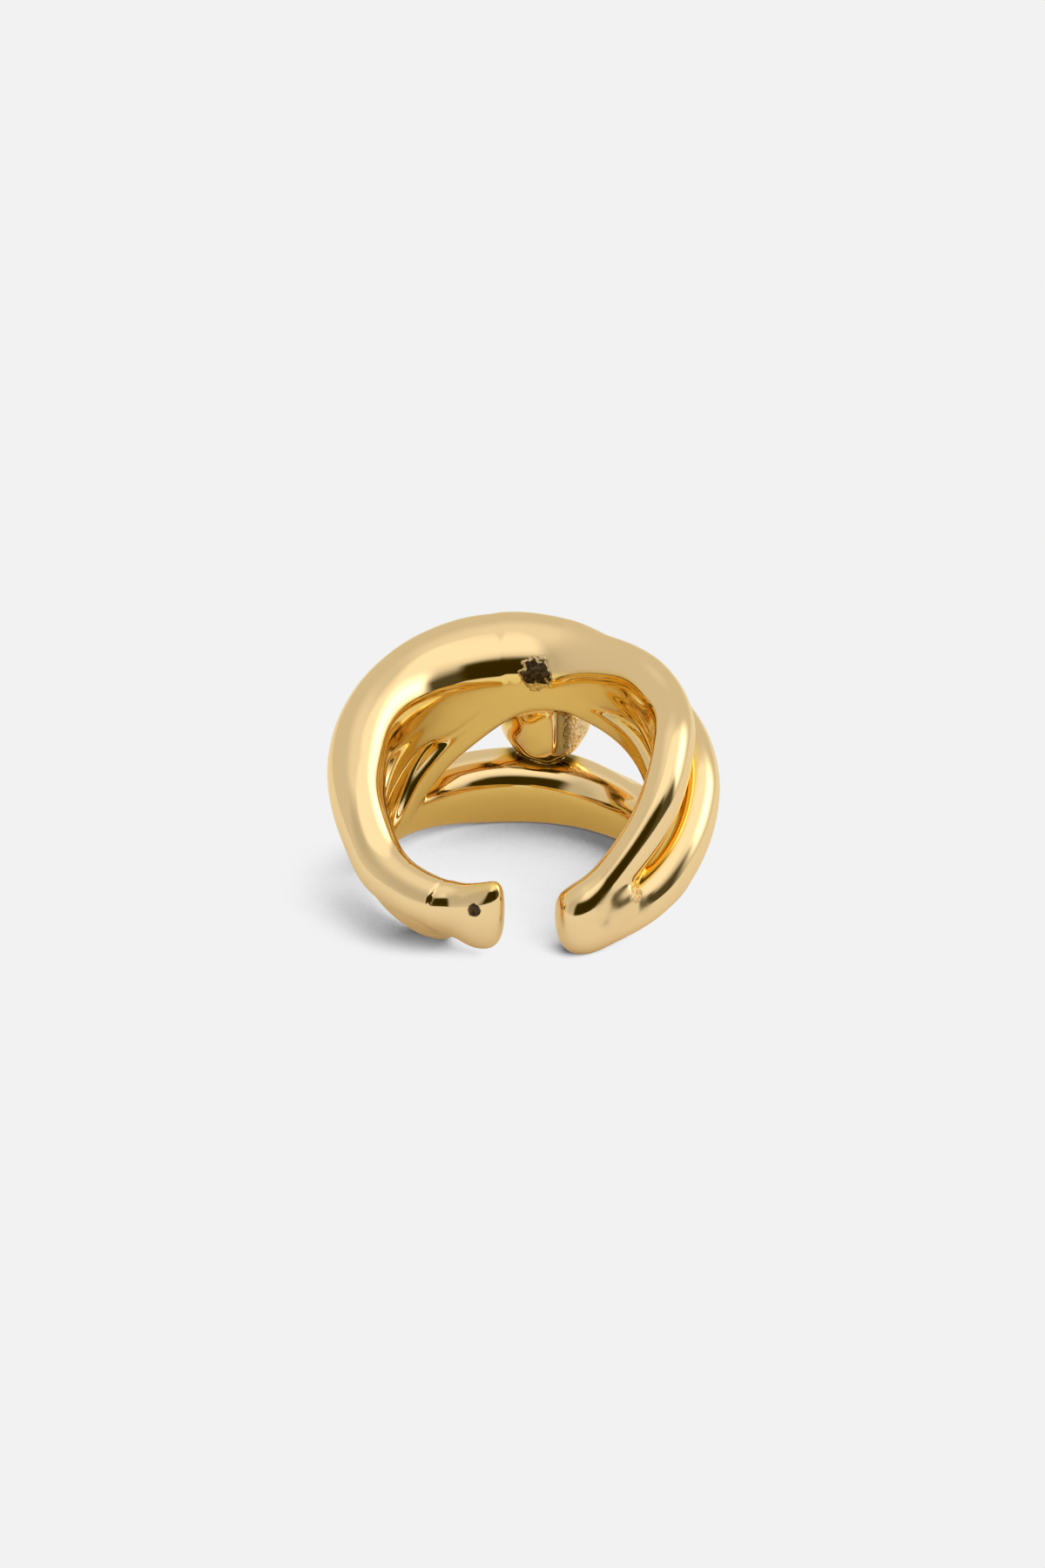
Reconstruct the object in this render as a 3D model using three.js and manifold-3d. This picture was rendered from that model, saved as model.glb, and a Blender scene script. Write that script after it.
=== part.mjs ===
// An open finger ring cast in one piece of gold-plated brass: two heavy strands loop round
// the finger, branch, cross over and run together again at two feet that leave a gap.
//
// Millimetres, +Z up. The ring lies on its side, as it does on a table: the finger hole
// points up and the ring leans forward on its two feet, which face -Y. The origin is on
// the table, under the middle of the ring's box.
//
// A strand is a table. Its rows follow the strand round the finger:
//   at     degrees round the finger from the middle of the back, + towards the left foot
//   out    distance of the strand's middle from the finger's axis
//   up     height of the strand's middle along that axis, 0 half way up the ring
//   thick  size of the strand's oval section across the wall of the ring
//   wide   size of the section along the axis
//   lean   degrees that the section's top leans away from the finger
// Between two rows the values run smoothly on, and at both ends the strand is rounded.

import * as THREE from 'three';
import { mergeVertices } from 'three/addons/utils/BufferGeometryUtils.js';
import Module from 'manifold-3d';

// ---- driving dimensions ----------------------------------------------------------------

const FINGER = 18.0;        // diameter of the finger hole
const LEAN = 13.7;          // degrees that the ring's axis leans forward when it lies
const LAND = 0.22;          // depth of the flats that its lowest points are polished to
const SIDES = 14;           // faces round a strand
const STEP = 5.5;           // degrees from one section of a strand to the next
const HOLE_SIDES = 96;      // faces round the finger hole
const ROUND = 2;            // how full a strand's end is: 2 is a half ball
const BLUNT = 3;            //   and 3 a flatter face with a round edge
const GOLD = { color: 0xe6bf7c, metalness: 1, roughness: 0.12 };

const COLUMNS = ['at', 'out', 'up', 'thick', 'wide', 'lean'];

const STRANDS = [
  {
    // from the left foot over the left side and the back, down across the right side
    name: 'crown', cap: 1.4, ends: [ROUND, ROUND],
    rows: [
      [-164, 10.75, -1.7, 2.8, 2.8, 0],
      [-150, 11.15, -1.35, 2.95, 3.15, 0],
      [-135, 11.6, -0.6, 3.15, 3.35, 0],
      [-118, 11.75, 0.35, 3.15, 3.65, 0],
      [-103, 11.85, 1.45, 3.25, 3.75, 0],
      [-90, 11.9, 2.4, 3.3, 3.8, 0],
      [-72, 11.85, 3.15, 3.5, 3.85, 0],
      [-45, 11.65, 4.0, 3.9, 4.45, 16],
      [-23, 11.7, 4.45, 4.25, 5.25, 40],
      [0, 11.87, 4.7, 4.3, 6.0, 58],
      [21, 11.82, 4.7, 4.3, 5.9, 61],
      [40, 11.4, 4.55, 4.2, 5.5, 49],
      [65, 11.0, 4.45, 4.15, 4.9, 28],
      [90, 11.0, 3.65, 4.1, 4.55, 12],
      [112, 11.2, 2.25, 3.55, 4.2, 4],
      [124, 11.25, 0.95, 3.55, 3.8, 0],
      [136, 11.15, 0.4, 3.3, 3.45, 0],
      [147, 10.95, 0.2, 3.05, 3.05, 0],
      [156, 10.7, 0.3, 2.6, 2.6, 0],
    ],
  },
  {
    // branches off the crown at the back and runs round the right side to the right foot
    name: 'shoulder', cap: 1.4, ends: [ROUND, ROUND],
    rows: [
      [-164, 10.5, -0.8, 3.0, 3.6, 0],
      [-154, 10.5, 0.15, 2.9, 3.7, 0],
      [-136, 10.3, 2.3, 2.55, 3.7, 0],
      [-118, 10.35, 4.5, 2.85, 3.75, 0],
      [-97, 10.15, 6.1, 3.15, 3.85, 0],
      [-83, 10.35, 6.4, 3.2, 3.85, 5],
      [-68, 10.55, 6.4, 3.15, 3.9, 13],
      [-54, 10.7, 6.5, 3.2, 3.8, 11],
      [-40, 10.8, 6.0, 3.45, 4.2, 24],
      [-28, 11.0, 5.3, 3.85, 4.7, 39],
      [-14, 11.55, 4.8, 4.1, 5.55, 53],
      [0, 11.85, 4.7, 4.25, 5.9, 58],
      [12, 11.85, 4.7, 4.2, 5.8, 59],
    ],
  },
  {
    // inner band under the crown, and the arms that it sends down on both sides
    name: 'arch', cap: 1.2, ends: [ROUND, ROUND],
    rows: [
      [-95, 10.2, -1.6, 2.2, 2.2, 0],
      [-80, 10.05, 0.0, 2.5, 2.3, 0],
      [-66, 10.05, 1.3, 2.6, 2.4, 0],
      [-54, 10.05, 1.95, 2.6, 2.4, 0],
      [-40, 10.05, 2.4, 2.6, 2.2, 0],
      [-25, 10.1, 2.85, 2.7, 2.3, 0],
      [-10, 10.1, 3.25, 2.8, 2.6, 0],
      [7, 10.1, 2.0, 2.8, 2.9, 0],
      [21, 10.1, 0.4, 2.7, 2.95, 0],
      [30, 10.05, -0.55, 2.6, 2.9, 0],
      [40, 10.05, -1.75, 2.6, 3.0, 0],
      [50, 10.05, -2.85, 2.6, 2.95, 0],
      [60, 10.05, -4.0, 2.6, 2.5, 0],
      [80, 10.1, -4.5, 2.4, 2.6, 0],
    ],
  },
  {
    // the upper arms, which close the small windows beside the back
    name: 'brow', cap: 1.2, ends: [ROUND, ROUND],
    rows: [
      [-80, 10.2, 3.6, 2.2, 2.0, 0],
      [-58, 10.15, 4.6, 2.4, 1.6, 0],
      [-45, 10.1, 4.6, 2.4, 2.3, 0],
      [-32, 10.1, 4.3, 2.5, 2.7, 0],
      [-18, 10.1, 3.5, 2.6, 2.8, 0],
      [0, 10.1, 3.2, 2.6, 2.8, 0],
      [16, 10.1, 3.1, 2.6, 3.5, 0],
      [30, 10.1, 2.3, 2.6, 4.0, 0],
      [42, 10.1, 2.2, 2.5, 3.3, 0],
      [54, 10.1, 1.7, 2.4, 3.1, 0],
      [66, 10.1, 1.0, 2.4, 2.9, 0],
      [80, 10.15, 0.4, 2.3, 2.0, 0],
      [95, 10.2, 0.0, 2.2, 1.8, 0],
    ],
  },
  {
    // flat band along the bottom of the back
    name: 'sole', cap: 1.2, ends: [ROUND, ROUND],
    rows: [
      [-88, 10.1, -4.3, 1.8, 2.6, 0],
      [-65, 10.0, -5.2, 1.9, 3.0, 0],
      [-45, 9.9, -5.9, 2.1, 3.2, 0],
      [-20, 9.9, -6.4, 2.2, 3.5, 0],
      [0, 9.9, -6.5, 2.2, 3.6, 0],
      [20, 9.9, -6.1, 2.2, 3.6, 0],
      [45, 9.9, -5.1, 2.1, 3.2, 0],
      [65, 10.0, -4.4, 1.9, 2.9, 0],
      [85, 10.1, -4.0, 1.8, 2.6, 0],
    ],
  },
  {
    // round strand outside the sole
    name: 'keel', cap: 1.4, ends: [ROUND, ROUND],
    rows: [
      [-75, 10.6, -4.9, 1.8, 2.0, 0],
      [-45, 10.9, -5.7, 3.0, 3.4, 0],
      [-20, 11.15, -5.75, 4.2, 4.2, 0],
      [0, 11.2, -5.7, 4.5, 4.5, 0],
      [30, 11.1, -5.5, 4.2, 4.2, 0],
      [50, 10.95, -5.1, 3.4, 3.4, 0],
      [75, 10.6, -4.2, 2.2, 2.2, 0],
    ],
  },
  {
    // from under the nugget round the outside of the right, then beneath the crown
    name: 'tail', cap: 1.4, ends: [ROUND, ROUND],
    rows: [
      [-155, 10.65, -2.15, 2.8, 2.8, 0],
      [-138, 10.45, -2.25, 2.8, 2.85, 0],
      [-110, 10.5, -2.9, 2.8, 2.8, 0],
      [-90, 10.7, -3.9, 2.8, 2.8, 0],
      [-65, 11.2, -5.2, 3.0, 3.0, 0],
      [-45, 11.6, -6.0, 3.2, 3.2, 0],
      [-30, 11.8, -6.1, 3.3, 3.3, 0],
      [-8, 11.8, -5.8, 3.1, 3.1, 0],
      [10, 11.6, -5.6, 2.8, 2.8, 0],
    ],
  },
  {
    // from the back down behind the left window, then beneath the crown to the left foot
    name: 'flank', cap: 1.4, ends: [ROUND, ROUND],
    rows: [
      [0, 11.7, 3.4, 2.4, 3.0, 0],
      [18, 11.6, 2.2, 2.6, 3.6, 0],
      [30, 11.5, 0.6, 2.7, 4.0, 0],
      [40, 11.4, -0.6, 2.8, 4.2, 0],
      [52, 11.2, -1.8, 2.8, 4.4, 0],
      [66, 10.9, -2.6, 2.8, 4.2, 0],
      [80, 10.5, -2.8, 2.7, 3.6, 0],
      [95, 10.15, -2.65, 2.6, 3.2, 0],
      [110, 9.9, -2.3, 2.5, 3.1, 0],
      [131, 9.98, -2.17, 2.43, 3.25, 0],
      [142, 9.8, -2.35, 2.31, 3.4, 4],
      [156, 9.85, -1.77, 2.28, 3.0, 4],
    ],
  },
  {
    // the left foot, a knob like the end of a bone
    name: 'heel', cap: 1.4, ends: [ROUND, BLUNT],
    rows: [
      [146, 10.75, -0.75, 2.7, 2.8, 0],
      [155, 10.54, -0.3, 2.8, 3.82, 0],
      [164, 10.73, -0.2, 2.69, 4.92, -5],
      [174.5, 10.63, 0.28, 2.37, 5.36, -5],
    ],
  },
  {
    // the right foot, blunt like a thumb
    name: 'toe', cap: 1.5, ends: [BLUNT, ROUND],
    rows: [
      [-165.5, 10.4, -0.8, 3.15, 4.45, 0],
      [-156, 10.6, -1.15, 2.95, 4.25, 0],
      [-146, 10.5, -0.75, 2.6, 3.5, 0],
    ],
  },
];

// the nugget of gold held between the crown and the sole
const NUGGET = { at: -8.2, out: 12.2, up: -0.1, half: [3.25, 3.3, 4.0], sides: 26, tiers: 18 };

// ---- making solids -----------------------------------------------------------------------

const wasm = await Module();
wasm.setup();

const radians = THREE.MathUtils.degToRad;

function toSolid(geometry) {
  const bare = geometry.clone();
  bare.deleteAttribute('normal');
  bare.deleteAttribute('uv');
  const merged = mergeVertices(bare, 1e-5);
  return new wasm.Manifold(new wasm.Mesh({
    numProp: 3,
    vertProperties: new Float32Array(merged.attributes.position.array),
    triVerts: new Uint32Array(merged.index.array),
  }));
}

function toGeometry(solid) {
  const mesh = solid.getMesh();
  const geometry = new THREE.BufferGeometry();
  geometry.setAttribute('position', new THREE.BufferAttribute(mesh.vertProperties, 3));
  geometry.setIndex(new THREE.BufferAttribute(mesh.triVerts, 1));
  return geometry;
}

// A point beside the finger, from its place round it, its distance from the axis and height.
function aroundFinger(at, out, up) {
  return new THREE.Vector3(-out * Math.sin(radians(at)), out * Math.cos(radians(at)), up);
}

// How wide a rounded end still is, `inside` mm before its tip: nothing there, full after
// `cap` mm, and the fuller in between the higher `power` is.
function fullness(inside, cap, power) {
  const gone = THREE.MathUtils.clamp(1 - inside / cap, 0, 1);
  return (1 - gone ** power) ** (1 / power);
}

// A strand is a ball whose poles are pulled out to its two ends: the angle down from a pole
// becomes the way along the strand, and the angle round the pole the way round its section.
function makeStrand({ rows, cap, ends }) {
  const first = rows[0][0];
  const last = rows[rows.length - 1][0];
  const values = rows.flatMap((row) => row.slice(1));
  const table = new THREE.CubicInterpolant(rows.map((row) => row[0]), values, COLUMNS.length - 1);
  const tiers = Math.round((last - first) / STEP) + 4;
  const ball = new THREE.SphereGeometry(1, SIDES, tiers);
  const point = new THREE.Vector3();
  const places = ball.attributes.position;
  for (let i = 0; i < places.count; i += 1) {
    point.fromBufferAttribute(places, i);
    const down = Math.acos(THREE.MathUtils.clamp(point.y, -1, 1));
    const round = Math.atan2(-point.z, point.x);
    // tiers crowd together near both ends, where the strand is rounded
    const along = down / Math.PI - 0.055 * Math.sin(2 * down);
    const at = THREE.MathUtils.lerp(first, last, along);
    const [out, up, thick, wide, lean] = table.evaluate(at);
    const arc = radians(last - first) * out;
    const full = fullness(along * arc, cap, ends[0]) * fullness((1 - along) * arc, cap, ends[1]);
    const across = Math.sin(down) === 0 ? 0 : full * Math.cos(round) * thick / 2;
    const tall = Math.sin(down) === 0 ? 0 : full * Math.sin(round) * wide / 2;
    const tip = radians(lean);
    places.setXYZ(i, ...aroundFinger(
      at,
      out + across * Math.cos(tip) + tall * Math.sin(tip),
      up - across * Math.sin(tip) + tall * Math.cos(tip),
    ));
  }
  return toSolid(ball);
}

function makeNugget({ at, out, up, half, sides, tiers }) {
  const ball = new THREE.SphereGeometry(1, sides, tiers);
  ball.rotateX(Math.PI / 2);
  ball.scale(...half);
  const middle = aroundFinger(at, out, up);
  ball.translate(middle.x, middle.y, middle.z);
  return toSolid(ball);
}

function makeFingerHole() {
  const hole = new THREE.CylinderGeometry(FINGER / 2, FINGER / 2, 40, HOLE_SIDES);
  hole.rotateX(Math.PI / 2);
  return toSolid(hole);
}

// Everything lower than `height`, to be cut away
function makeTable(height) {
  const slab = new THREE.BoxGeometry(60, 60, 20);
  slab.translate(0, 0, height - 10);
  return toSolid(slab);
}

// ---- the casting -------------------------------------------------------------------------

function makeCasting() {
  const solids = STRANDS.map(makeStrand);
  solids.push(makeNugget(NUGGET));
  const upright = solids.reduce((whole, solid) => whole.add(solid)).subtract(makeFingerHole());
  const lying = upright.rotate([LEAN, 0, 0]);
  const lowest = lying.boundingBox().min[2];
  const flat = lying.subtract(makeTable(lowest + LAND));
  const { min, max } = flat.boundingBox();
  return flat.translate([-(min[0] + max[0]) / 2, -(min[1] + max[1]) / 2, -min[2]]);
}

const casting = new THREE.Mesh(toGeometry(makeCasting()), new THREE.MeshStandardMaterial(GOLD));
casting.name = 'ring_casting';

const group = new THREE.Group();
group.add(casting);

export default group;
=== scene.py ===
# %% [markdown]
# # An open gold ring of interlaced strands
#
# This notebook dresses one finger ring: a single casting in brass, plated with gold and
# polished. On the real object a wax model is built up from soft rods that branch and cross,
# the wax is cast in metal, and the metal is polished until it mirrors the studio. So there
# are two jobs here: a surface so smooth that its reflections run true, and a light tent worth
# reflecting.
#
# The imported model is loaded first. It fixes where everything lies and how large it is.

# %% Load the frame
import math

import bpy
import numpy as np
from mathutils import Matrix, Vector


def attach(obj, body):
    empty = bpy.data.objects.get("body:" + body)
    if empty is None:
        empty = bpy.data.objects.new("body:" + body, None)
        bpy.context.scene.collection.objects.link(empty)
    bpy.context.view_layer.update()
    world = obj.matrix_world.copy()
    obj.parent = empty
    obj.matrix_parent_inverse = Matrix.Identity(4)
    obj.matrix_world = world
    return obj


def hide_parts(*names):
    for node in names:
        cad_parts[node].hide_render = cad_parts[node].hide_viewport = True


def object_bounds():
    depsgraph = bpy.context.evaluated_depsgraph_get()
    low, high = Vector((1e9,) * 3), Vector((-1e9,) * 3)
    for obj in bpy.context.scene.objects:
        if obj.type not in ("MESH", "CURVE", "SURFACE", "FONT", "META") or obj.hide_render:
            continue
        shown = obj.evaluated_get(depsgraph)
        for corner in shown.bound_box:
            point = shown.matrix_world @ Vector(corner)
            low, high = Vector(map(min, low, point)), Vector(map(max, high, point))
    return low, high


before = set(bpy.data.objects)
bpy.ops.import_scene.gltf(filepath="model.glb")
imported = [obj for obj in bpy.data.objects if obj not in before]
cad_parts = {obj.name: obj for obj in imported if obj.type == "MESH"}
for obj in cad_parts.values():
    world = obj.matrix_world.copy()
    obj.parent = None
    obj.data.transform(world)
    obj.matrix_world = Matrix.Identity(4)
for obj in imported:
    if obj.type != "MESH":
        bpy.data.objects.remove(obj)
cad_low, cad_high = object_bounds()
print("the ring as packed, in mm:", [round(1000 * (b - a), 2) for a, b in zip(cad_low, cad_high)])

# %% [markdown]
# ## Driving sizes
#
# Sizes are in millimetres until the mesh is made. A place on the ring is given as a jeweller
# would: `at`, degrees round the finger from the middle of the back, + towards the left foot;
# `out`, the distance from the finger's axis; and `up`, the height along that axis. The ring
# leans forward on its feet, so its axis is LEAN degrees off the vertical.

# %% Sizes
MM = 0.001
FINGER = 18.0  # diameter of the finger hole
MID_WALL = FINGER / 2 + 2.0  # from the finger's axis to the middle of the strands
LEAN = 13.7  # degrees that the ring's axis leans forward as it lies
LAND = 0.22  # depth of the flats that its lowest points are polished to
MESH_STEP = 0.18  # size of one face of the finished surface
BORE_EDGE = 0.3  # softness of the edge between the finger hole and the strands
LAND_EDGE = 0.10  # softness of the edge of the flats
print(f"a face every {MESH_STEP} mm, {2 * math.pi * MID_WALL / MESH_STEP:.0f} round the ring")

# %% [markdown]
# ## The strands
#
# Each strand of the casting is a short table. A row gives the middle of the strand (`at`,
# `out`, `up`), the size of its oval section across the wall (`thick`) and along the axis
# (`wide`), and how far the top of the section leans away from the finger (`lean`, degrees).
# `cap` is the length in which an end rounds off, and `full` how blunt the rounding is: 2 is
# half a ball, 3 or more a face with a soft edge. `blend` is the size of the fillet where the
# strand meets the ones listed before it.
#
# Drawn curves would be nicer to edit by hand, but a table keeps every size in sight. The solids
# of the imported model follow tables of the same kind, so the two are easy to compare.

# %% Tables
STRANDS = {
    "crown": dict(cap=1.4, full=(2, 2), blend=0.3, rows=(
        (-164, 10.75, -1.7, 2.8, 2.8, 0),
        (-150, 11.15, -1.35, 2.95, 3.15, 0),
        (-135, 11.6, -0.6, 3.15, 3.35, 0),
        (-118, 11.75, 0.35, 3.15, 3.65, 0),
        (-103, 11.85, 1.45, 3.25, 3.75, 0),
        (-90, 11.9, 2.4, 3.3, 3.8, 0),
        (-72, 11.85, 3.15, 3.5, 3.85, 0),
        (-45, 11.65, 4.0, 3.9, 4.45, 16),
        (-23, 11.7, 4.45, 4.25, 5.25, 40),
        (0, 11.87, 4.7, 4.3, 6.0, 58),
        (21, 11.82, 4.7, 4.3, 5.9, 61),
        (40, 11.4, 4.55, 4.2, 5.5, 49),
        (65, 11.0, 4.45, 4.15, 4.9, 28),
        (90, 11.0, 3.65, 4.1, 4.55, 12),
        (112, 11.2, 2.25, 3.55, 4.2, 4),
        (124, 11.25, 0.95, 3.55, 3.8, 0),
        (136, 11.15, 0.4, 3.3, 3.45, 0),
        (147, 10.95, 0.2, 3.05, 3.05, 0),
        (156, 10.7, 0.3, 2.6, 2.6, 0),
    )),
    "shoulder": dict(cap=1.4, full=(2, 2), blend=0.35, rows=(
        (-164, 10.5, -0.8, 3.0, 3.6, 0),
        (-154, 10.5, 0.15, 2.9, 3.7, 0),
        (-136, 10.3, 2.3, 2.55, 3.7, 0),
        (-118, 10.35, 4.5, 2.85, 3.75, 0),
        (-97, 10.15, 6.1, 3.15, 3.85, 0),
        (-83, 10.35, 6.4, 3.2, 3.85, 5),
        (-68, 10.55, 6.4, 3.15, 3.9, 13),
        (-54, 10.7, 6.5, 3.2, 3.8, 11),
        (-40, 10.8, 6.0, 3.45, 4.2, 24),
        (-28, 11.0, 5.3, 3.85, 4.7, 39),
        (-14, 11.55, 4.8, 4.1, 5.55, 53),
        (0, 11.85, 4.7, 4.25, 5.9, 58),
        (12, 11.85, 4.7, 4.2, 5.8, 59),
    )),
    "arch": dict(cap=1.2, full=(2, 2), blend=0.3, rows=(
        (-108, 10.4, -2.7, 2.1, 2.2, 0),
        (-95, 10.2, -1.6, 2.2, 2.2, 0),
        (-80, 10.05, 0.0, 2.5, 2.3, 0),
        (-66, 10.05, 1.3, 2.6, 2.4, 0),
        (-54, 10.05, 1.95, 2.6, 2.4, 0),
        (-40, 10.05, 2.4, 2.6, 2.2, 0),
        (-25, 10.1, 2.85, 2.7, 2.3, 0),
        (-10, 10.1, 3.25, 2.8, 2.6, 0),
        (7, 10.1, 2.0, 2.8, 2.9, 0),
        (21, 10.1, 0.4, 2.7, 2.95, 0),
        (30, 10.05, -0.55, 2.6, 2.9, 0),
        (40, 10.05, -1.75, 2.6, 3.0, 0),
        (50, 10.05, -2.85, 2.6, 2.95, 0),
        (60, 10.05, -4.0, 2.6, 2.5, 0),
        (82, 10.1, -3.9, 2.2, 2.3, 0),
    )),
    "brow": dict(cap=1.2, full=(2, 2), blend=0.5, rows=(
        (-98, 11.0, 2.2, 1.7, 1.5, 0),
        (-80, 10.2, 3.6, 2.2, 2.0, 0),
        (-58, 10.15, 4.6, 2.4, 1.6, 0),
        (-45, 10.1, 4.6, 2.4, 2.3, 0),
        (-32, 10.1, 4.3, 2.5, 2.7, 0),
        (-18, 10.1, 3.5, 2.6, 2.8, 0),
        (0, 10.1, 3.2, 2.6, 2.8, 0),
        (16, 10.1, 3.1, 2.6, 3.5, 0),
        (30, 10.1, 2.3, 2.6, 4.0, 0),
        (42, 10.1, 2.2, 2.5, 3.3, 0),
        (54, 10.1, 1.7, 2.4, 3.1, 0),
        (66, 10.1, 1.0, 2.4, 2.9, 0),
        (80, 10.15, 0.4, 2.3, 2.0, 0),
        (95, 10.2, -0.2, 2.2, 1.8, 0),
        (110, 10.1, -1.5, 2.1, 1.9, 0),
    )),
    "sole": dict(cap=1.2, full=(2, 2), blend=0.3, rows=(
        (-88, 10.1, -4.3, 1.8, 2.6, 0),
        (-65, 10.0, -5.2, 1.9, 3.0, 0),
        (-45, 9.9, -5.9, 2.1, 3.2, 0),
        (-20, 9.9, -6.4, 2.2, 3.5, 0),
        (0, 9.9, -6.5, 2.2, 3.6, 0),
        (20, 9.9, -6.1, 2.2, 3.6, 0),
        (45, 9.9, -5.1, 2.1, 3.2, 0),
        (65, 10.0, -4.4, 1.9, 2.9, 0),
        (85, 10.1, -4.0, 1.8, 2.6, 0),
    )),
    "keel": dict(cap=1.4, full=(2, 2), blend=0.3, rows=(
        (-75, 10.6, -4.9, 1.8, 2.0, 0),
        (-45, 10.9, -5.7, 3.0, 3.4, 0),
        (-20, 11.15, -5.75, 4.2, 4.2, 0),
        (0, 11.2, -5.7, 4.5, 4.5, 0),
        (30, 11.1, -5.5, 4.2, 4.2, 0),
        (50, 10.95, -5.1, 3.4, 3.4, 0),
        (75, 10.6, -4.2, 2.2, 2.2, 0),
    )),
    "tail": dict(cap=1.4, full=(2, 2), blend=0.25, rows=(
        (-155, 10.65, -2.15, 2.8, 2.8, 0),
        (-138, 10.45, -2.25, 2.8, 2.85, 0),
        (-110, 10.5, -2.9, 2.8, 2.8, 0),
        (-90, 10.7, -3.9, 2.8, 2.8, 0),
        (-65, 11.2, -5.2, 3.0, 3.0, 0),
        (-45, 11.6, -6.0, 3.2, 3.2, 0),
        (-30, 11.8, -6.1, 3.3, 3.3, 0),
        (-8, 11.8, -5.8, 3.1, 3.1, 0),
        (10, 11.6, -5.6, 2.8, 2.8, 0),
    )),
    "flank": dict(cap=1.4, full=(2, 2), blend=0.3, rows=(
        (0, 11.7, 3.4, 2.4, 3.0, 0),
        (18, 11.6, 2.2, 2.6, 3.6, 0),
        (30, 11.5, 0.6, 2.7, 4.0, 0),
        (40, 11.4, -0.6, 2.8, 4.2, 0),
        (52, 11.2, -1.8, 2.8, 4.4, 0),
        (66, 10.9, -2.6, 2.8, 4.2, 0),
        (80, 10.5, -2.8, 2.7, 3.6, 0),
        (95, 10.15, -2.65, 2.6, 3.2, 0),
        (110, 9.9, -2.3, 2.5, 3.1, 0),
        (131, 9.98, -2.17, 2.43, 3.25, 0),
        (142, 9.8, -2.35, 2.31, 3.4, 4),
        (156, 9.85, -1.77, 2.28, 3.0, 4),
    )),
    "heel": dict(cap=1.4, full=(2, 3), blend=1.2, rows=(
        (146, 10.75, -0.75, 2.7, 2.8, 0),
        (155, 10.54, -0.3, 2.8, 3.82, 0),
        (164, 10.73, -0.2, 2.69, 4.92, -5),
        (174.5, 10.63, 0.28, 2.37, 5.36, -5),
    )),
    "toe": dict(cap=1.5, full=(3, 2), blend=1.2, rows=(
        (-165.5, 10.4, -0.8, 3.15, 4.45, 0),
        (-156, 10.6, -1.15, 2.95, 4.25, 0),
        (-146, 10.5, -0.75, 2.6, 3.5, 0),
    )),
    "web": dict(cap=0.9, full=(2, 2), blend=0.5, rows=(
        (-152, 11.35, -0.4, 1.9, 2.0, 0),
        (-145.5, 11.6, 0.1, 2.1, 2.3, 0),
        (-139, 11.6, 0.7, 1.8, 1.8, 0),
    )),
    "stub": dict(cap=0.4, full=(2, 3), blend=0.08, rows=(
        (134, 11.15, 0.5, 3.1, 3.3, 0),
        (142, 11.05, 0.28, 3.25, 3.35, 0),
        (151, 10.87, 0.22, 3.1, 3.15, 0),
    )),
}
NUGGET = dict(at=-8.2, out=12.2, up=-0.1, half=(3.25, 3.3, 4.0), blend=0.25)
CLEFT = dict(at=-17.5, out=9.3, wide=0.45, soft=0.3)  # a deep crease down the nugget
LUMPS = dict(deep=0.055, tight=2.5, turn=0.8, up=0.3)  # the nugget's hammered lumps
print("strands:", ", ".join(STRANDS))

# %% [markdown]
# ## From tables to one skin
#
# A strand could be made as a tube mesh and the tubes joined with a Boolean, but every seam
# would then be a hard edge, and on polished metal a hard edge shows at once. Instead the ring
# is written as a *field*: one number for every point in space, negative inside the metal and
# positive outside, roughly the distance to the surface. Fields can be melted together with a
# rounded minimum, which leaves the soft fillet that wax and polishing leave on the real ring.


# %% Smooth tables
FINE_ROWS = 721  # how many places along a strand its table is worked out for


def smooth_table(rows, degrees):
    """Every column of a strand's table at the given degrees, on natural cubic splines.

    Between two rows a value is a cubic whose second derivatives m solve one small system,
    so it bends without a kink where two rows meet."""
    rows = np.array(rows, float)
    x, y = rows[:, 0], rows[:, 1:]
    gap = np.diff(x)
    system = np.eye(len(x))
    slope_change = np.zeros_like(y)
    for i in range(1, len(x) - 1):
        system[i, i - 1 : i + 2] = gap[i - 1], 2 * (gap[i - 1] + gap[i]), gap[i]
        slope_change[i] = 6 * ((y[i + 1] - y[i]) / gap[i] - (y[i] - y[i - 1]) / gap[i - 1])
    m = np.linalg.solve(system, slope_change)
    at = np.clip(degrees, x[0], x[-1])
    i = np.clip(np.searchsorted(x, at) - 1, 0, len(x) - 2)
    before, after, h = (at - x[i])[:, None], (x[i + 1] - at)[:, None], gap[i][:, None]
    bend = (m[i] * after**3 + m[i + 1] * before**3) / (6 * h)
    return bend + (y[i] / h - m[i] * h / 6) * after + (y[i + 1] / h - m[i + 1] * h / 6) * before


widths = smooth_table(STRANDS["crown"]["rows"], np.array([-90.0, 0.0, 90.0]))[:, 3]
print("the crown is", widths.round(2), "mm wide on the right, at the back and on the left")


# %% Melting and carving
def melt(a, b, size):
    """The smaller of two fields, rounded where they are within `size` of each other."""
    near = np.maximum(size - np.abs(a - b), 0) / size
    return np.minimum(a, b) - near * near * size / 4


def carve(a, b, size):
    """The larger of two fields, rounded in the same way: what is left inside both."""
    return -melt(-a, -b, size)


print("two surfaces that touch melt", -melt(0.0, 0.0, 1.0), "of the fillet's size into one")


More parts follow.
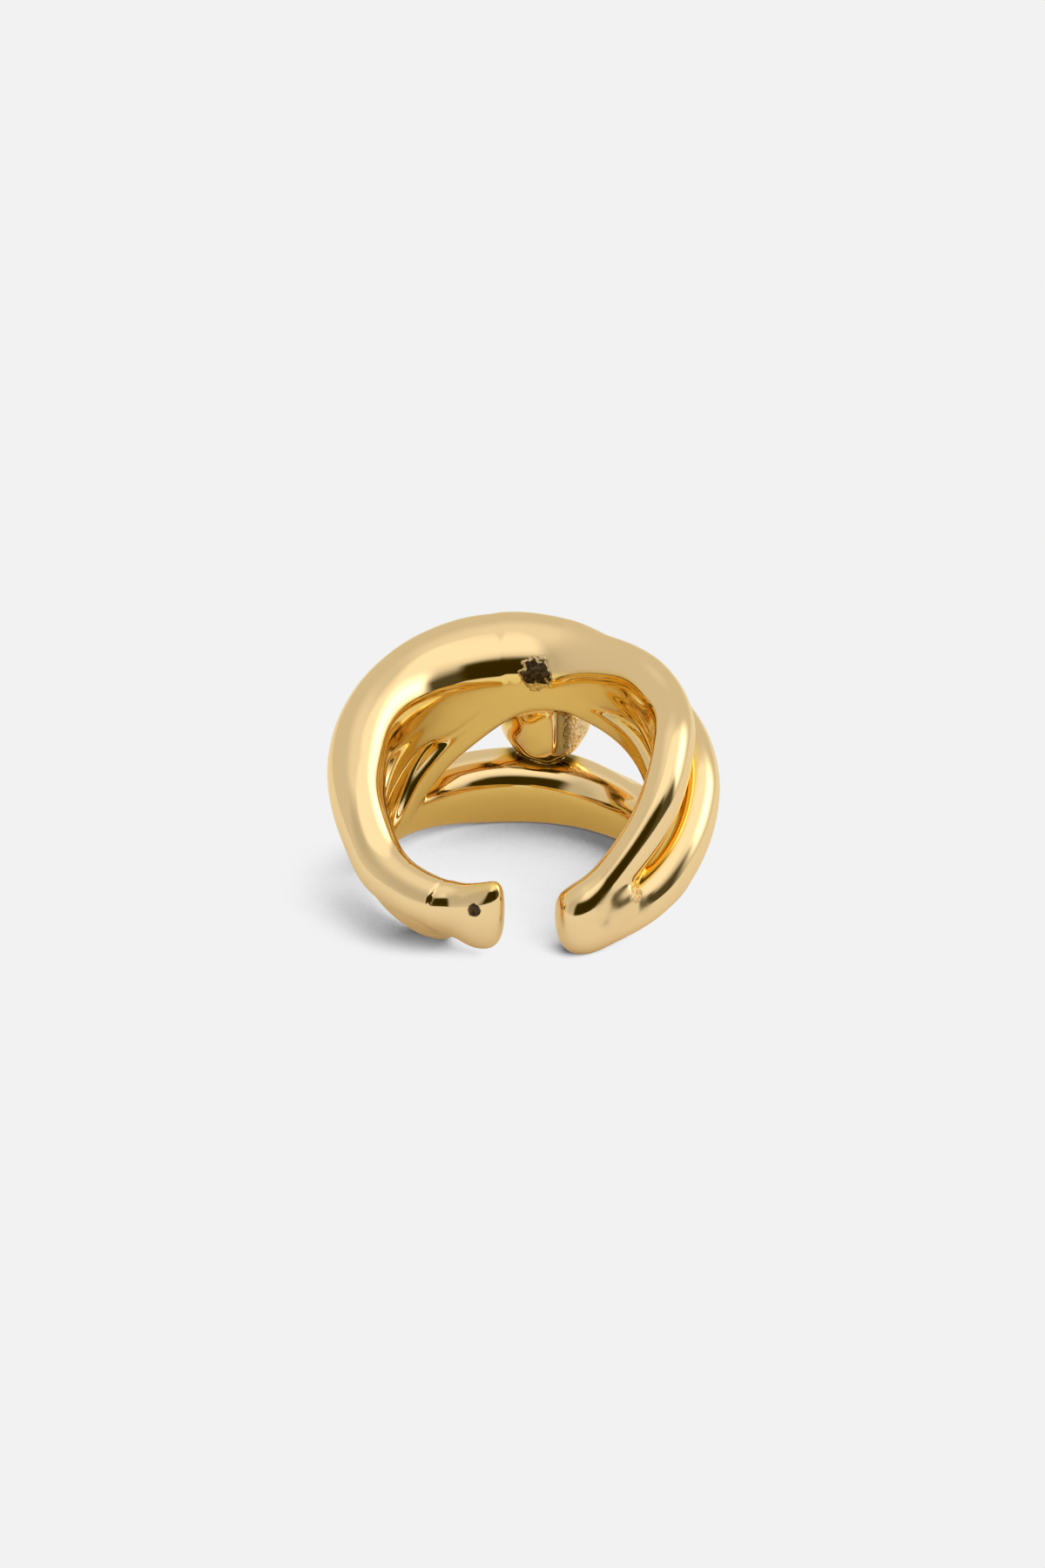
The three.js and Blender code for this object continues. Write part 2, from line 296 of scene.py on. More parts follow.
# %% The field of one strand
def strand_field(strand, at, out, up):
    """Roughly the distance from points (at in radians, out, up) to a strand's surface.

    In the slice through each point the strand is an oval: with u across and v along it,
    q = sqrt((u / half thick)^2 + (v / half wide)^2) is 1 on its outline. Past either end q
    grows with the distance past it, so the strand rounds off."""
    rows = strand["rows"]
    first, last = math.radians(rows[0][0]), math.radians(rows[-1][0])
    fine = np.linspace(rows[0][0], rows[-1][0], FINE_ROWS)
    columns = smooth_table(rows, fine)
    middle_out, middle_up, thick, wide, lean = (
        np.interp(np.degrees(at), fine, columns[:, i]) for i in range(5)
    )
    tip = np.radians(lean)
    across = (out - middle_out) * np.cos(tip) - (up - middle_up) * np.sin(tip)
    along = (out - middle_out) * np.sin(tip) + (up - middle_up) * np.cos(tip)
    oval = np.sqrt((2 * across / thick) ** 2 + (2 * along / wide) ** 2)
    cap = strand["cap"]
    past = np.maximum(at - last + cap / MID_WALL, first + cap / MID_WALL - at) * MID_WALL
    full = np.where(at > (first + last) / 2, strand["full"][1], strand["full"][0])
    q = (oval**full + (np.maximum(past, 0) / cap) ** full) ** (1 / full)
    return (q - 1) * np.minimum(thick, wide) / 2


crown_top = strand_field(STRANDS["crown"], 0.0, 11.87, np.array([4.7, 20.0]))
print("the crown's field at its middle and well above it:", crown_top.round(2))

# %% [markdown]
# ## The nugget
#
# At the back a lump of metal sits between the strands, as if a drop had run into the wax. It
# is an egg with a few soft dents and one deep cleft. Sculpting would give richer dents. Here
# one wave across and one along the axis make the dents and a rod carves the cleft, all in the
# same field as the strands, so that the nugget melts into them as they melt into each other.


# %% The field of the nugget
def nugget_field(at, out, up):
    """Roughly the distance to an egg, its radius over the egg's half sizes less 1, plus a sine
    in x times a cosine in up for the lumps, and less a rod that stands in the cleft."""
    x, y = -out * np.sin(at), out * np.cos(at)
    middle = math.radians(NUGGET["at"])
    cx, cy = -NUGGET["out"] * math.sin(middle), NUGGET["out"] * math.cos(middle)
    a, b, c = NUGGET["half"]
    q = np.sqrt(((x - cx) / a) ** 2 + ((y - cy) / b) ** 2 + ((up - NUGGET["up"]) / c) ** 2)
    across = (at - math.radians(CLEFT["at"])) * CLEFT["out"]
    groove = np.hypot(across, out - CLEFT["out"]) - CLEFT["wide"]
    lumps = np.sin(LUMPS["tight"] * (x - cx) + LUMPS["turn"])
    lumps = LUMPS["deep"] * lumps * np.cos(LUMPS["tight"] * (up - LUMPS["up"]))
    return carve((q - 1) * min(a, b, c) + lumps, -groove, CLEFT["soft"])


middle_of_nugget = nugget_field(math.radians(NUGGET["at"]), NUGGET["out"], NUGGET["up"])
print(f"the nugget's middle lies {-middle_of_nugget:.2f} mm deep in the metal")

# %% [markdown]
# ## Hand-worked wax
#
# Wax that is shaped by hand is never quite even, and polish shows it: straight reflections
# swim a little. A bump in the material would bend the reflections too, but leave the outline
# too true. So the unevenness is part of the field: a few long, low waves in chance directions,
# drawn from a seeded generator so that they come out the same each time.

# %% The unevenness
RIPPLE = 0.006  # how far the metal swells and sinks
RIPPLE_LONG = (3.5, 8.0)  # the shortest and the longest wave
RIPPLE_COUNT = 6
chance = np.random.default_rng(5)
WAVES = []
for _ in range(RIPPLE_COUNT):
    direction = chance.normal(size=3)
    direction *= 2 * math.pi / chance.uniform(*RIPPLE_LONG) / np.linalg.norm(direction)
    WAVES.append((*direction, chance.uniform(0, 2 * math.pi)))


def ripple(at, out, up):
    """A slow unevenness: the sum of a few sine waves that run in chance directions."""
    x, y = -out * np.sin(at), out * np.cos(at)
    return RIPPLE * sum(np.sin(a * x + b * y + c * up + start) for a, b, c, start in WAVES)


print("waves in the metal:", len(WAVES))

# %% [markdown]
# ## The whole casting
#
# The strands melt together one after the other. What the finger needs is carved out last, so
# that the inside of the ring is one round bore however the strands run, as it is on a ring
# that has been reamed to size.


# %% The field of the ring
def ring_field(at, out, up):
    """The whole casting: all the strands melted into one, less the finger hole."""
    whole = None
    for strand in STRANDS.values():
        one = strand_field(strand, at, out, up)
        whole = one if whole is None else melt(whole, one, strand["blend"])
    whole = melt(whole, nugget_field(at, out, up), NUGGET["blend"])
    return carve(whole, FINGER / 2 - out, BORE_EDGE) + ripple(at, out, up)


on_axis = ring_field(0.0, 0.0, 0.0)
print(f"the finger's axis is {on_axis:.2f} mm clear of the metal")


# %% [markdown]
# ## Laying the ring down
#
# The ring is worked out upright, round its own axis, and leans forward by LEAN once it lies
# on the table. Its three lowest places are polished flat, and the whole is set down where the
# packed casting lies.


# %% Between the ring and the table
def to_ring(points):
    """Points (n, 3) round the ring's own axis, as at, out, up."""
    x, y, z = points.T
    return np.arctan2(-x, y), np.hypot(x, y), z


def height(at, out, up):
    """How high a place on the ring lies once the ring leans forward."""
    lean = math.radians(LEAN)
    return out * np.cos(at) * math.sin(lean) + up * math.cos(lean)


def skin_field(points, floor):
    """The finished casting, with the flats cut at `floor`."""
    at, out, up = to_ring(points)
    return carve(ring_field(at, out, up), floor - height(at, out, up), LAND_EDGE)


print(f"the crown passes {height(0, 11.87, 4.7):.2f} mm above the middle of the finger hole")


# %% [markdown]
# ## Skinning the field
#
# The surface is where the field is 0. A grid is laid round the ring in (at, out, up), and in
# every cell of it that the surface crosses one vertex is put at the mean of the crossings on
# the cell's edges. Each grid edge that the surface crosses becomes one four-sided face
# between the four cells round it. That net is closed and even, and a few rounds of evening
# out and pulling back onto the surface make it exact. Marching cubes would do too, but leaves
# slivers that show on a mirror. Where two strands barely touch, metal can meet metal corner to
# corner in the grid, and these pinches are filled first.


# %% The net
CORNERS = np.array([(i, j, k) for i in (0, 1) for j in (0, 1) for k in (0, 1)])
CELL_EDGES = [(p, p + step) for step in (1, 2, 4) for p in range(8) if not p & step]


def net_of(values, axes):
    """Vertices (n, 3) in the grid's own coordinates and faces (m, 4) where values pass 0."""
    inside = values < 0
    cells = [size - 1 for size in values.shape]
    corner_in = [
        inside[i : cells[0] + i, j : cells[1] + j, k : cells[2] + k] for i, j, k in CORNERS
    ]
    count = sum(c.astype(np.int8) for c in corner_in)
    where = np.argwhere((count > 0) & (count < 8))
    number = np.full(cells, -1)
    number[tuple(where.T)] = np.arange(len(where))
    at_corner = [values[tuple((where + c).T)] for c in CORNERS]
    total, crossings = np.zeros((len(where), 3)), np.zeros(len(where))
    for p, q in CELL_EDGES:
        crossed = (at_corner[p] < 0) != (at_corner[q] < 0)
        gap = np.where(crossed, at_corner[p] - at_corner[q], 1)
        share = np.where(crossed, at_corner[p] / gap, 0)
        spot = CORNERS[p] + share[:, None] * (CORNERS[q] - CORNERS[p])
        total[crossed] += spot[crossed]
        crossings += crossed
    places = where + total / crossings[:, None]
    vertices = np.stack(
        [np.interp(places[:, i], np.arange(len(a)), a) for i, a in enumerate(axes)], 1
    )
    faces = []
    for axis in range(3):
        low = [slice(None)] * 3
        high = [slice(None)] * 3
        low[axis], high[axis] = slice(0, -1), slice(1, None)
        edge = np.argwhere(inside[tuple(low)] != inside[tuple(high)])
        one, two = [i for i in range(3) if i != axis]
        for across in (one, two):
            edge = edge[(edge[:, across] > 0) & (edge[:, across] < cells[across])]
        turn = []
        for back_one, back_two in ((1, 1), (0, 1), (0, 0), (1, 0)):
            cell = edge.copy()
            cell[:, one] -= back_one
            cell[:, two] -= back_two
            turn.append(number[tuple(cell.T)])
        quad = np.stack(turn, 1)
        outward = inside[tuple(edge.T)] == (axis == 1)
        quad[~outward] = quad[~outward][:, ::-1]
        faces.append(quad)
    return vertices, np.concatenate(faces)


print("a cell of the grid has", len(CORNERS), "corners and", len(CELL_EDGES), "edges")


# %% Pinches
BARELY = 0.001  # how far inside the metal a filled pinch is put, in millimetres


def close_pinches(values):
    """The field with no pinches: where metal meets metal only corner to corner across a grid
    square, one of the square's two air corners is filled, so that the net has no edge there
    that four faces share."""
    values = values.copy()
    for axis in (0, 1, 2) * 3:
        layers = np.moveaxis(values, axis, 0)
        a, b = layers[:, :-1, :-1], layers[:, 1:, :-1]
        c, d = layers[:, 1:, 1:], layers[:, :-1, 1:]
        b[(a < 0) & (c < 0) & (b >= 0) & (d >= 0)] = -BARELY
        a[(b < 0) & (d < 0) & (a >= 0) & (c >= 0)] = -BARELY
    return values


checker = close_pinches(np.array([[[-1.0, 1.0], [1.0, -1.0]]]))
print("metal corners of a pinched square once it is closed:", (checker < 0).sum(), "of 4")


# %% Moving the net onto the surface
FARTHEST = 0.8  # the longest move in one go, as a share of a face
LEAST_SLOPE = 0.05  # the least squared slope that a move is divided by


def slope(points, floor, reach=0.01):
    """The field's gradient at each point, from its values a hair away on both sides."""
    steps = np.eye(3) * reach
    sides = [skin_field(points + s, floor) - skin_field(points - s, floor) for s in steps]
    return np.stack(sides, 1) / (2 * reach)


def pull_to_skin(points, floor):
    """Each point moved against the gradient g by field * g / |g|^2, but not far in one go."""
    g = slope(points, floor)
    steep = np.maximum((g**2).sum(1), LEAST_SLOPE)
    move = skin_field(points, floor)[:, None] * g / steep[:, None]
    far = np.linalg.norm(move, axis=1, keepdims=True)
    return points - move * np.minimum(1, FARTHEST * MESH_STEP / np.maximum(far, 1e-9))


def even_out(points, faces, share):
    """Each point moved part of the way to the mean of the points it shares an edge with."""
    ends = np.concatenate([faces[:, (i, (i + 1) % 4)] for i in range(4)])
    total = np.stack(
        [np.bincount(ends[:, 0], points[ends[:, 1], c], len(points)) for c in range(3)], 1
    )
    count = np.bincount(ends[:, 0], minlength=len(points))
    return points + share * (total / count[:, None] - points)


# %% Skin the casting
AT_ENDS = (-176, 178)  # the block of space that the grid fills, in degrees
OUT_ENDS = (FINGER / 2 - 0.5, 15.9)  # and in millimetres
UP_ENDS = (-9.4, 9.8)
ROUNDS, SHARE = 3, 0.5  # of evening out
turn_step = math.degrees(MESH_STEP / MID_WALL)
grid_at = np.radians(np.arange(*AT_ENDS, turn_step))
grid_out = np.arange(*OUT_ENDS, MESH_STEP)
grid_up = np.arange(*UP_ENDS, MESH_STEP)
block = (grid_at[:, None, None], grid_out[None, :, None], grid_up[None, None, :])
solid = ring_field(*block)
heights = height(*block) + 0 * solid
floor = heights[solid < 0].min() + LAND
solid = close_pinches(carve(solid, floor - heights, LAND_EDGE))
vertices, faces = net_of(solid, (grid_at, grid_out, grid_up))
at, out, up = vertices.T
skin = pull_to_skin(np.stack([-out * np.sin(at), out * np.cos(at), up], 1), floor)
for _ in range(ROUNDS):
    skin = pull_to_skin(even_out(skin, faces, SHARE), floor)
skin = pull_to_skin(skin, floor)
skin_normals = slope(skin, floor)
skin_normals /= np.linalg.norm(skin_normals, axis=1, keepdims=True)
print(f"skin: {len(skin)} vertices, {len(faces)} faces, {2 * len(faces)} triangles")

# %% [markdown]
# ## Is it a solid?
#
# A casting has an inside and an outside, so its net has to be closed: every edge belongs to
# exactly two faces. And it has to face outward: the tetrahedra from the origin to each
# triangle, each counted with its sign, then add up to the volume of the metal.

# %% Check the net
sides = np.sort(np.concatenate([faces[:, (i, (i + 1) % 4)] for i in range(4)]), 1)
shared = np.unique(sides[:, 0].astype(np.int64) * len(skin) + sides[:, 1], return_counts=True)[1]
print("faces at an edge:", shared.min(), "to", shared.max())
volume = 0.0
for one, two, three in ((0, 1, 2), (0, 2, 3)):
    a, b, c = (skin[faces[:, corner]] for corner in (one, two, three))
    volume += (a * np.cross(b, c)).sum() / 6
print(f"volume of the metal: {volume:.0f} cubic millimetres")

# %% [markdown]
# ## Setting it down
#
# Leaning is a turn about the X axis. The turned ring is then moved so that its box is centred
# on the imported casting's box and its flats lie on the table.

# %% Lean and place
lean = math.radians(LEAN)
LEANING = np.array(
    [[1, 0, 0], [0, math.cos(lean), -math.sin(lean)], [0, math.sin(lean), math.cos(lean)]]
)
lying = skin @ LEANING.T
middle = (np.array(cad_low) + np.array(cad_high)) / 2 / MM
offset = np.array(
    [*(middle[:2] - (lying.min(0) + lying.max(0))[:2] / 2), cad_low[2] / MM - lying[:, 2].min()]
)
places = (lying + offset) * MM
normals = skin_normals @ LEANING.T
ring_middle = Vector(offset * MM)  # the middle of the finger hole, half way up the ring
print("middle of the finger hole, in mm:", offset.round(2))

# %% [markdown]
# ## One smooth mesh
#
# Smooth shading takes the mean of the faces round each vertex, and on a mirror even that shows
# as faint facets. The field knows better: its gradient is the exact normal of the metal, so
# the mesh gets its normals from there. The piece rides on the ring's one body and stands in
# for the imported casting.

# %% The mesh
mesh = bpy.data.meshes.new("polished_casting")
mesh.from_pydata(places, [], faces.tolist())
mesh.polygons.foreach_set("use_smooth", np.ones(len(faces), bool))
mesh.normals_split_custom_set_from_vertices(normals)
casting = bpy.data.objects.new("polished_casting", mesh)
bpy.context.scene.collection.objects.link(casting)
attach(casting, "root")
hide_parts("ring_casting")
print("polished_casting:", len(mesh.vertices), "vertices")

# %% [markdown]
# ## Where the metal differs, and painted light
#
# Five marks are worked out over the surface, two of them painted light. A deeper gold where
# metal faces metal is painted bounce light, for light that goes to and fro between the strands,
# and painted shade makes the cracks round the nugget nearly black. The metal itself is satin
# rather than bright past the seam at the crown, rough where the casting came out pitted, and dark
# where such a pit is burnt. Each becomes a number at every vertex, worked out from the vertex's
# own place on the ring: 0 for none of it and 1 for all, and up to 2 where pits and burns leave
# nothing between them. A painted map would need the skin unwrapped, and these marks are so few
# that formulas say it shorter.


# %% Helpers for marks
def rise_between(value, low, high):
    """0 up to `low`, 1 from `high`, and the curve 3t^2 - 2t^3 between them."""
    t = np.clip((value - low) / (high - low), 0, 1)
    return t * t * (3 - 2 * t)


def spot(place, centre, size):
    """1 in the middle of an oval spot and 0 at its edge: 1 less the distance over the size."""
    at, out, up = place
    along = (at - math.radians(centre[0])) * out / size[0]
    return np.clip(1 - np.hypot(along, (up - centre[1]) / size[1]), 0, 1)


def closeness(points, normals, reach):
    """How much less the field has grown at `reach` off the skin than it would in the open."""
    return np.clip(1 - skin_field(points + normals * reach, floor) / reach, 0, 1)


place = to_ring(skin)
at, out, up = place
degrees = np.degrees(at)
facing_in = skin_normals[:, 0] * np.sin(at) - skin_normals[:, 1] * np.cos(at)
print(f"{(facing_in > 0.9).mean():.1%} of the skin faces the finger")

# %% Deep gold, shade and satin
CREASE_REACHES = (0.35, 0.8, 1.6)  # how far off the skin another strand still counts
SATIN_PATCH = ((-146, 0.0), (2.4, 2.0))  # a spot is its centre (at, up) and its half sizes
crease = np.mean([closeness(skin, skin_normals, reach) for reach in CREASE_REACHES], 0)
# Painted bounce light: deep is a deeper gold on the faces towards the finger and in the creases,
# for light that goes to and fro between the strands
deep = np.maximum(rise_between(facing_in, 0.80, 0.98), rise_between(crease, 0.15, 0.6))
by_nugget = rise_between(degrees, -36, -26) * rise_between(-degrees, -14, -8)
# Painted shade: shade turns the cracks round the nugget nearly black
shade = rise_between(crease, 0.45, 0.85) * by_nugget
past_seam = rise_between(degrees, -62, -34) * rise_between(-degrees, 13.6, 14.6)
satin = past_seam * rise_between(up, 3.4, 4.6) * (1 - rise_between(facing_in, 0.85, 0.98))
satin = np.maximum(satin, rise_between(spot(place, *SATIN_PATCH), 0, 0.3))
print(f"in a crease: {(crease > 0.5).mean():.1%} of the skin")

# %% [markdown]
# ## Flaws of the casting
#
# Gas leaves pits in a casting, and what is trapped in them burns dark. This ring keeps four
# such places as its character: a crater under the seam of the crown, a burr where the two
# right strands join, a blister on the left foot and the stony side of the nugget. Displaced
# geometry would need far more faces for grains this small. Here each is an oval spot or a
# band, strongest in its middle, and the material breaks it up into crumbs.

# %% Pits and burns
CRATER = ((-6.6, 5.0), (1.8, 1.8))  # under the seam of the crown
BURR = ((-140.5, 0.95), (1.1, 0.8))  # where the two right strands join
BLISTER = ((165, 1.08), (0.62, 0.62))  # on the left foot
crater = spot(place, *CRATER) * rise_between(-out, -10.8, -10.3)
ashes = crater * rise_between(up, 4.0, 4.6)
burr = spot(place, *BURR) * rise_between(out, 11.0, 11.3)
blister = spot(place, *BLISTER) * rise_between(out, 11.2, 11.4)
on_nugget = rise_between(-up, -2.4, -1.6) * rise_between(up, -3.6, -2.9)
near_cleft = rise_between(-np.abs(degrees - CLEFT["at"]), -4.5, -2.5)
# Painted shade: cleft marks the nugget's cleft, which goes dark through the shade mark, not as a
# flaw
cleft = on_nugget * near_cleft * rise_between(-out, -10.3, -9.9) * rise_between(out, 9.3, 9.6)
right_side = rise_between(-degrees, 16.5, 19) * rise_between(degrees, -27, -25)
stony = on_nugget * right_side * rise_between(-out, -12.2, -11.4) * rise_between(out, 9.15, 9.5)
print(f"stony: {(stony > 0.5).sum()} vertices, in the cleft: {(cleft > 0.5).sum()}")

# %% Marks on the skin
MARKS = {
    "deep": deep,
    "satin": satin,
    # shade is painted shade, in the cracks round the nugget and in its cleft
    "shade": np.clip(shade + 0.7 * cleft, 0, 1),
    "pitted": np.clip(crater * 2.0 + burr * 1.8 + blister * 3 + stony * 1.1, 0, 2),
    "burnt": np.clip(ashes * 1.95 + burr * 0.8 + blister * 3 + stony * 0.7, 0, 2),
}
for name, values in MARKS.items():
    layer = mesh.attributes.new(name, "FLOAT", "POINT")
    layer.data.foreach_set("value", values.astype(np.float32))
    print(f"{name}: mean {values.mean():.3f}, on {(values > 0.5).mean():.1%} of the vertices")

# %% [markdown]
# ## Gold plate
#
# The plate is a few thousandths of a millimetre of gold over brass, so its look is all colour
# and polish. One group turns the marks into a colour, a roughness and a height: the polish
# varies a little as a polishing mop leaves it, satin is a fine even grain, and pits are small
# cells sunk into the surface. It reads the ring's own coordinates, in metres, so the sizes of
# its patterns are given as so many to the metre.


# %% Helpers for node trees
def group_of(name, inputs, outputs):
    """A shader node group, the sockets that it is given and the sockets of its result."""
    group = bpy.data.node_groups.new(name, "ShaderNodeTree")
    for label, kind, value in inputs:
        socket = group.interface.new_socket(label, in_out="INPUT", socket_type=kind)
        socket.default_value = value
    for label, kind in outputs:
        group.interface.new_socket(label, in_out="OUTPUT", socket_type=kind)
    given = group.nodes.new("NodeGroupInput").outputs
    result = group.nodes.new("NodeGroupOutput").inputs
    return group, given, result


def maths(tree, operation, *values):
    """One Math node, fed with sockets or numbers."""
    node = tree.nodes.new("ShaderNodeMath")
    node.operation = operation
    for socket, value in zip(node.inputs, values):
        if isinstance(value, (int, float)):
            socket.default_value = value
        else:
            tree.links.new(value, socket)
    return node.outputs[0]


def step_up(tree, value, edge, soft):
    """0 below `edge`, 1 above it, along an S-shaped curve `soft` wide on both sides."""
    ramp = tree.nodes.new("ShaderNodeMapRange")
    ramp.interpolation_type = "SMOOTHSTEP"
    ramp.inputs["From Min"].default_value = edge - soft
    ramp.inputs["From Max"].default_value = edge + soft
    tree.links.new(value, ramp.inputs["Value"])
    return ramp.outputs["Result"]


def noise(tree, where, scale, detail):
    """Cloudy noise from 0 to 1, `scale` clouds to the metre."""
    node = tree.nodes.new("ShaderNodeTexNoise")
    node.inputs["Scale"].default_value = scale
    node.inputs["Detail"].default_value = detail
    tree.links.new(where, node.inputs["Vector"])
    return node.outputs["Fac"]


def blend(tree, share, one, two):
    """One colour where share is 0, the other where it is 1."""
    node = tree.nodes.new("ShaderNodeMix")
    node.data_type = "RGBA"
    for socket, value in zip((node.inputs[0], node.inputs[6], node.inputs[7]), (share, one, two)):
        tree.links.new(value, socket)
    return node.outputs[2]


print("node groups so far:", len(bpy.data.node_groups))

# %% The sockets of the gold plate
CLOUDS, GRAINS, CRUMBS, CELLS = 420, 14000, 1900, 3600  # patterns, so many to the metre
plate, given, result = group_of(
    "gold_plate",
    [
        ("Gold", "NodeSocketColor", (0.95, 0.705, 0.375, 1)),
        # the deeper gold of painted bounce light, for the creases and the finger hole
        ("Bounce Gold", "NodeSocketColor", (0.93, 0.65, 0.19, 1)),
        # the near black of burnt pits, also used for the painted shade in the cracks round the
        # nugget
        ("Burn and Shade", "NodeSocketColor", (0.022, 0.009, 0.004, 1)),
        ("Polish", "NodeSocketFloat", 0.09),
        ("Deep", "NodeSocketFloat", 0.0),
        ("Shade", "NodeSocketFloat", 0.0),
        ("Satin", "NodeSocketFloat", 0.0),
        ("Pitted", "NodeSocketFloat", 0.0),
        ("Burnt", "NodeSocketFloat", 0.0),
    ],
    [
        ("Color", "NodeSocketColor"),
        ("Roughness", "NodeSocketFloat"),
        ("Height", "NodeSocketFloat"),
    ],
)
where = plate.nodes.new("ShaderNodeTexCoord").outputs["Object"]
cloud = noise(plate, where, CLOUDS, 3)
grain = noise(plate, where, GRAINS, 2)
crumbs = noise(plate, where, CRUMBS, 5)
cells = plate.nodes.new("ShaderNodeTexVoronoi")
cells.inputs["Scale"].default_value = CELLS
plate.links.new(where, cells.inputs["Vector"])
print("gold_plate takes", ", ".join(socket.name for socket in given if socket.name))

# %% [markdown]
# ## Crumbs
#
# A flaw has a ragged edge. Its mark is multiplied by a cloudy noise and compared with a
# threshold, so the middle of a spot is pitted all over and its rim only here and there. The
# distance to the middle of the nearest small cell gives each pit its bowl.

# %% Pitted and burnt
PITS_FROM, BURNS_FROM = 0.42, 0.47  # what mark times crumbs has to reach
pitted = step_up(plate, maths(plate, "MULTIPLY", given["Pitted"], crumbs), PITS_FROM, 0.06)
burnt = step_up(plate, maths(plate, "MULTIPLY", given["Burnt"], crumbs), BURNS_FROM, 0.04)
bowl = maths(plate, "MULTIPLY", cells.outputs["Distance"], pitted)
dark = maths(plate, "MULTIPLY", burnt, maths(plate, "MULTIPLY_ADD", bowl, -0.15, 1.0))
print("gold_plate:", len(plate.nodes), "nodes so far")

# %% [markdown]
# ## From marks to a look
#
# Gold that mirrors gold is deeper in colour than gold that mirrors white, and light that goes
# to and fro in a narrow place deepens it further. The renderer follows only a few of those
# turns, so the deep places get a deeper base colour to start from. Satin, pits and burns each
# add their own share to the roughness of the polish.

# %% Colour, roughness and height
MOP_HAZE = 0.08  # how unevenly the mop has polished
DULLER = {"Satin": 0.22, "pit": 0.22, "burn": 0.25}  # what each adds to the roughness
SATIN_HEIGHT = 0.02  # how high the satin grain stands, as a share of a pit's depth
# Painted bounce light: where deep is 1 the gold turns to the deeper gold of light bounced between
# the strands
color = blend(plate, given["Deep"], given["Gold"], given["Bounce Gold"])
# Painted shade: the cracks round the nugget and its cleft blend towards the near black
color = blend(plate, maths(plate, "MULTIPLY", given["Shade"], 0.75), color, given["Burn and Shade"])
color = blend(plate, dark, color, given["Burn and Shade"])
haze = maths(plate, "MULTIPLY_ADD", cloud, MOP_HAZE, -MOP_HAZE / 2)
rough = maths(plate, "ADD", given["Polish"], haze)
rough = maths(plate, "MULTIPLY_ADD", given["Satin"], DULLER["Satin"], rough)
rough = maths(plate, "MULTIPLY_ADD", pitted, DULLER["pit"], rough)
rough = maths(plate, "MULTIPLY_ADD", dark, DULLER["burn"], rough)
satin_grain = maths(plate, "MULTIPLY", grain, given["Satin"])
depth = maths(plate, "MULTIPLY_ADD", satin_grain, SATIN_HEIGHT, bowl)
plate.links.new(color, result["Color"])
plate.links.new(rough, result["Roughness"])
plate.links.new(depth, result["Height"])
print("gold_plate:", len(plate.nodes), "nodes")

# %% [markdown]
# The material itself is bare metal: the group's colour and roughness, and a bump from its
# height that is as deep as the pits are. Metal seen edge on turns pale, and gold keeps some of
# its colour even there, which the shader's Specular Tint is for.

# %% Polished gold
PIT_DEPTH = 0.00016  # in metres
RIM_GOLD = (1.0, 0.95, 0.78, 1)  # the metal's tint where it is seen at a grazing angle
gold = bpy.data.materials.new("polished_gold")
gold.use_nodes = True
tree = gold.node_tree
shader = tree.nodes["Principled BSDF"]
shader.inputs["Metallic"].default_value = 1.0
shader.inputs["Specular Tint"].default_value = RIM_GOLD
coat = tree.nodes.new("ShaderNodeGroup")
coat.node_tree = plate
for name in MARKS:
    mark = tree.nodes.new("ShaderNodeAttribute")
    mark.attribute_name = name
    tree.links.new(mark.outputs["Fac"], coat.inputs[name.capitalize()])
bump = tree.nodes.new("ShaderNodeBump")
bump.inputs["Distance"].default_value = PIT_DEPTH
tree.links.new(coat.outputs["Height"], bump.inputs["Height"])
tree.links.new(coat.outputs["Color"], shader.inputs["Base Color"])
tree.links.new(coat.outputs["Roughness"], shader.inputs["Roughness"])
tree.links.new(bump.outputs["Normal"], shader.inputs["Normal"])
mesh.materials.append(gold)
print("the casting wears", gold.name)

# %% [markdown]
# ## The table
#
# In a studio such a ring stands on a sheet of white paper that is lit until it almost glows,
# so that only the heart of the shadow is left. A flat sheet lies a hair under the ring's
# flats, so that the two never touch in one plane. To the metal it is plain white paper. To
# the lens it is the same white, darkened by how much of the half space towards the large soft
# box is hidden by the ring, with the faint outskirts of the shadow lost in the white. Lights
# strong enough to burn the paper out would burn the gold out as well, so the two are split
# with the Light Path node.

# %% White paper
PAPER = 2.0  # half the side of the sheet, in metres
HAIR = 0.00002  # how far the sheet lies under the ring, in metres
PAPER_WHITE = 0.92  # how much light the sheet sends back
PAPER_GLOW = 0.12  # what it adds for the light that the tent's lamps throw on it
BACKDROP = 0.887  # what lit paper and the backdrop come to
TOWARD_SOFT_BOX = (0.87, 0.1, 0.5)
SHADOW_REACH = 0.02  # nothing farther than this darkens the paper, in metres
HEART, OUTSKIRTS = 0.2, 0.60  # how open the darkest and the last grey spots are
DARKEST = 0.03  # the heart of the shadow, as a share of the white
SHADOW_RAYS = 32
corners = [(-PAPER, -PAPER, 0), (PAPER, -PAPER, 0), (PAPER, PAPER, 0), (-PAPER, PAPER, 0)]
sheet = bpy.data.meshes.new("table_top")
sheet.from_pydata(corners, [], [(0, 1, 2, 3)])
table = bpy.data.objects.new("table_top", sheet)
table.location.z = -HAIR
bpy.context.scene.collection.objects.link(table)
paper = bpy.data.materials.new("white_paper")
paper.use_nodes = True
sheet.materials.append(paper)
tree = paper.node_tree
dull = tree.nodes["Principled BSDF"]
dull.inputs["Base Color"].default_value = (PAPER_WHITE, PAPER_WHITE, PAPER_WHITE, 1)
dull.inputs["Roughness"].default_value = 0.9
dull.inputs["Specular IOR Level"].default_value = 0.0
dull.inputs["Emission Color"].default_value = (1, 1, 1, 1)
dull.inputs["Emission Strength"].default_value = PAPER_GLOW
